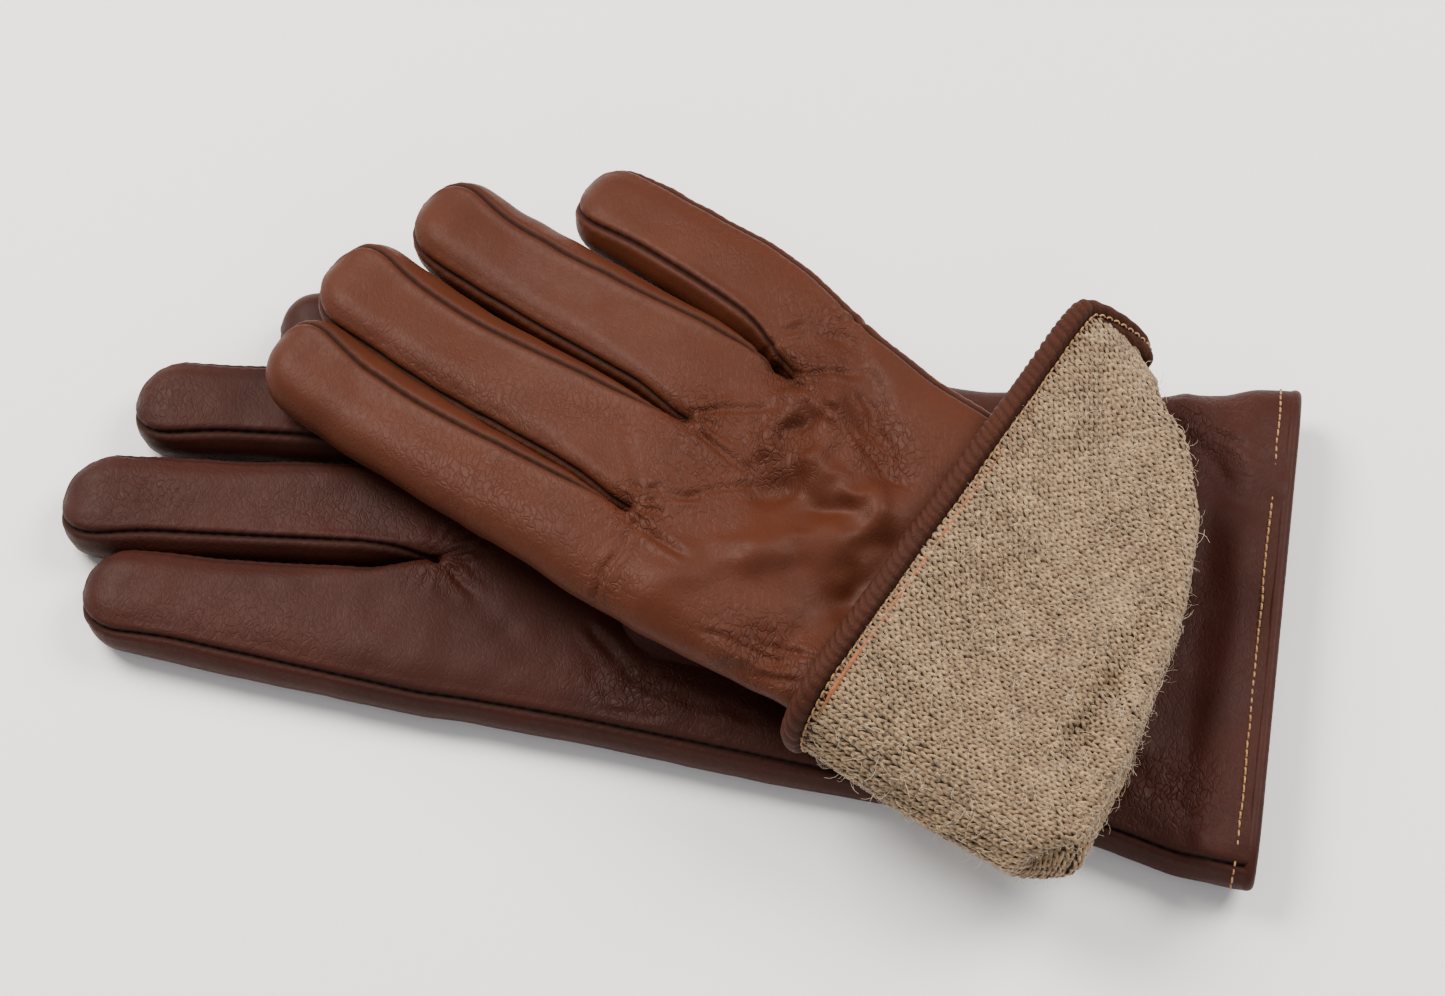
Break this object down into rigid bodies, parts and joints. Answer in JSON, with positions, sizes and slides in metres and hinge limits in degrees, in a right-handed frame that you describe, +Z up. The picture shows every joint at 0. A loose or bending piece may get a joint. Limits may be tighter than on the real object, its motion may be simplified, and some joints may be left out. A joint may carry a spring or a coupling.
{
  "type": "pair of lined leather gloves",
  "caption": "Pair of lined dress gloves in smooth leather, one laid across the other with its cuff turned back to show the knitted lining.",
  "frame": {"origin": "centre of the bounding box at the face that lies on the table", "axes": "+X towards the cuff openings, -X towards the fingertips, +Y towards the little finger of the lower glove, +Z up"},
  "size_m": [0.2492, 0.1518, 0.0437],
  "materials": {
    "leather_upper": "satin glove leather with fine grain",
    "leather_lower": "satin glove leather with fine grain",
    "knit": "plain wool knit",
    "thread": "twisted sewing thread"
  },
  "bodies": {
    "lower_glove": {"lower_back_panel": "leather_lower", "lower_cuff_hem": "leather_lower", "lower_hand_lining": "knit", "lower_hem_stitching": "thread", "lower_little_back": "leather_lower", "lower_little_fourchette_index_side": "leather_lower", "lower_little_lining": "knit", "lower_little_palm": "leather_lower", "lower_middle_back": "leather_lower", "lower_middle_fourchette_index_side": "leather_lower", "lower_middle_fourchette_little_side": "leather_lower", "lower_middle_lining": "knit", "lower_middle_palm": "leather_lower", "lower_palm_panel": "leather_lower", "lower_ring_back": "leather_lower", "lower_ring_fourchette_index_side": "leather_lower", "lower_ring_fourchette_little_side": "leather_lower", "lower_ring_lining": "knit", "lower_ring_palm": "leather_lower", "lower_thumb": "leather_lower", "lower_thumb_lining": "knit"},
    "lower_index_finger": {"lower_index_back": "leather_lower", "lower_index_fourchette_little_side": "leather_lower", "lower_index_lining": "knit", "lower_index_palm": "leather_lower"},
    "upper_glove": {"upper_back_panel": "leather_upper", "upper_cuff_hem": "leather_upper", "upper_hand_lining": "knit", "upper_hem_stitching": "thread", "upper_palm_panel": "leather_upper", "upper_thumb": "leather_upper", "upper_thumb_lining": "knit"},
    "upper_index_finger": {"upper_index_back": "leather_upper", "upper_index_fourchette_little_side": "leather_upper", "upper_index_lining": "knit", "upper_index_palm": "leather_upper"},
    "upper_middle_finger": {"upper_middle_back": "leather_upper", "upper_middle_fourchette_index_side": "leather_upper", "upper_middle_fourchette_little_side": "leather_upper", "upper_middle_lining": "knit", "upper_middle_palm": "leather_upper"},
    "upper_ring_finger": {"upper_ring_back": "leather_upper", "upper_ring_fourchette_index_side": "leather_upper", "upper_ring_fourchette_little_side": "leather_upper", "upper_ring_lining": "knit", "upper_ring_palm": "leather_upper"},
    "upper_little_finger": {"upper_little_back": "leather_upper", "upper_little_fourchette_index_side": "leather_upper", "upper_little_lining": "knit", "upper_little_palm": "leather_upper"}
  },
  "joints": [
    {"name": "upper_glove_lift", "type": "slide", "parent": "lower_glove", "child": "upper_glove", "axis": [0, 0, 1], "range_m": [0, 0.12]},
    {"name": "lower_index_bend", "type": "hinge", "parent": "lower_glove", "child": "lower_index_finger", "pos_m": [-0.04616, -0.01771, 0.0125], "axis": [0.1219, 0.9925, 0], "range_deg": [0, 60]},
    {"name": "upper_index_bend", "type": "hinge", "parent": "upper_glove", "child": "upper_index_finger", "pos_m": [-0.01588, -0.00735, 0.0371], "axis": [0.5519, 0.8339, 0], "range_deg": [0, 60]},
    {"name": "upper_middle_bend", "type": "hinge", "parent": "upper_glove", "child": "upper_middle_finger", "pos_m": [-0.00319, 0.01183, 0.0371], "axis": [0.5519, 0.8339, 0], "range_deg": [0, 60]},
    {"name": "upper_ring_bend", "type": "hinge", "parent": "upper_glove", "child": "upper_ring_finger", "pos_m": [0.00873, 0.02984, 0.0371], "axis": [0.5519, 0.8339, 0], "range_deg": [0, 60]},
    {"name": "upper_little_bend", "type": "hinge", "parent": "upper_glove", "child": "upper_little_finger", "pos_m": [0.0201, 0.04702, 0.0371], "axis": [0.5519, 0.8339, 0], "range_deg": [0, 60]}
  ]
}
